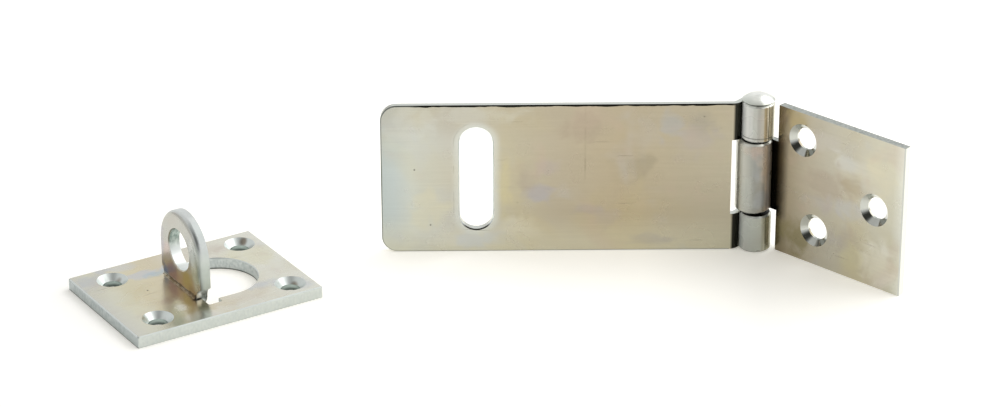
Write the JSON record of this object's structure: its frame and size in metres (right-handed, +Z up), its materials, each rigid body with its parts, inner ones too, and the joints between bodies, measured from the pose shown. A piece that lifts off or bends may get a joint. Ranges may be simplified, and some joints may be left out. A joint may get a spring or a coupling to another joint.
{
  "type": "padlock hasp",
  "caption": "Hinged hasp with a slotted strap, a screw-down leaf and a domed hinge pin, with its separate staple plate that carries a bent-up padlock eye.",
  "frame": {"origin": "on the surface that the parts stand on, under the centre of the whole set's bounding box", "axes": "+Z up along the hinge pin towards its head; -X along the strap from the pin to its free end; -Y out of the strap's front"},
  "size_m": [0.2514, 0.0716, 0.0516],
  "materials": {
    "strap_zinc": "bright zinc plating, faint brushed grain",
    "leaf_zinc": "bright zinc plating",
    "pin_zinc": "bright zinc plating, smooth",
    "staple_zinc": "bright zinc plating, faintly rainbow tinted"
  },
  "bodies": {
    "leaf_side": {"leaf": "leaf_zinc", "staple_plate": "staple_zinc"},
    "strap_side": {"strap": "strap_zinc", "hinge_pin": "pin_zinc"}
  },
  "joints": [
    {"name": "strap_swing", "type": "hinge", "parent": "leaf_side", "child": "strap_side", "pos_m": [0.08315, 0.0298, 0], "axis": [0, 0, 1], "range_deg": [-43.7, 136.3]}
  ]
}
